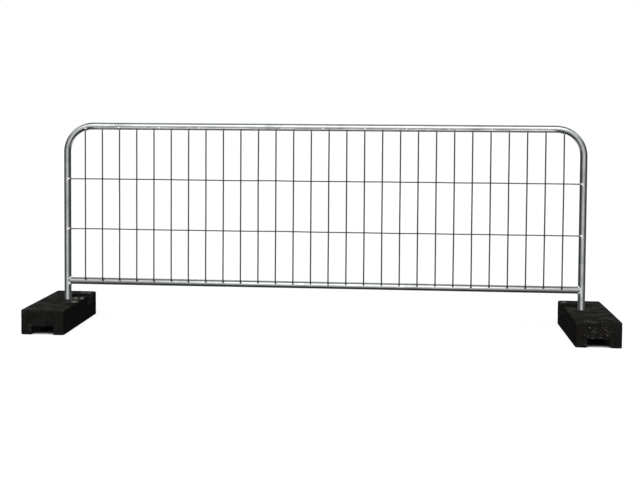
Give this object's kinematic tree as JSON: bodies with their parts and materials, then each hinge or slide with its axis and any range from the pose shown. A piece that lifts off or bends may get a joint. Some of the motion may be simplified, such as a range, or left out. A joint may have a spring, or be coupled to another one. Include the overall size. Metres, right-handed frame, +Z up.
{
  "type": "crowd control barrier",
  "caption": "Low steel barrier: a bent tube frame with upright wire bars and two cross wires, its legs standing in sockets in two heavy rubber feet.",
  "frame": {"origin": "on the ground, midway between the two feet", "axes": "+X along the barrier, +Y from the wire infill side to the back, +Z up"},
  "size_m": [3.23, 0.73, 1.16],
  "materials": {
    "galvanised_tube": "hot-dip galvanised steel tube, semi-bright with faint spangle and streaks",
    "galvanised_wire": "zinc-coated drawn wire, dull grey, brighter at the welds",
    "recycled_rubber": "moulded black recycled rubber, matt and slightly grainy with pale flecks"
  },
  "bodies": {
    "panel": {"frame_tube": "galvanised_tube", "bottom_rail": "galvanised_tube", "border_wire": "galvanised_wire", "cross_wire_upper": "galvanised_wire", "cross_wire_lower": "galvanised_wire", "bar_01": "galvanised_wire", "bar_02": "galvanised_wire", "bar_03": "galvanised_wire", "bar_04": "galvanised_wire", "bar_05": "galvanised_wire", "bar_06": "galvanised_wire", "bar_07": "galvanised_wire", "bar_08": "galvanised_wire", "bar_09": "galvanised_wire", "bar_10": "galvanised_wire", "bar_11": "galvanised_wire", "bar_12": "galvanised_wire", "bar_13": "galvanised_wire", "bar_14": "galvanised_wire", "bar_15": "galvanised_wire", "bar_16": "galvanised_wire", "bar_17": "galvanised_wire", "bar_18": "galvanised_wire", "bar_19": "galvanised_wire", "bar_20": "galvanised_wire", "bar_21": "galvanised_wire", "bar_22": "galvanised_wire", "bar_23": "galvanised_wire", "bar_24": "galvanised_wire", "bar_25": "galvanised_wire", "bar_26": "galvanised_wire", "bar_27": "galvanised_wire", "bar_28": "galvanised_wire"},
    "foot_left": {"foot_left": "recycled_rubber"},
    "foot_right": {"foot_right": "recycled_rubber"}
  },
  "joints": [
    {"name": "foot_left_swivel", "type": "hinge", "parent": "panel", "child": "foot_left", "pos_m": [-1.4605, 0.045, 0], "axis": [0, 0, 1], "continuous": true},
    {"name": "foot_right_swivel", "type": "hinge", "parent": "panel", "child": "foot_right", "pos_m": [1.4605, 0.045, 0], "axis": [0, 0, 1], "continuous": true}
  ]
}
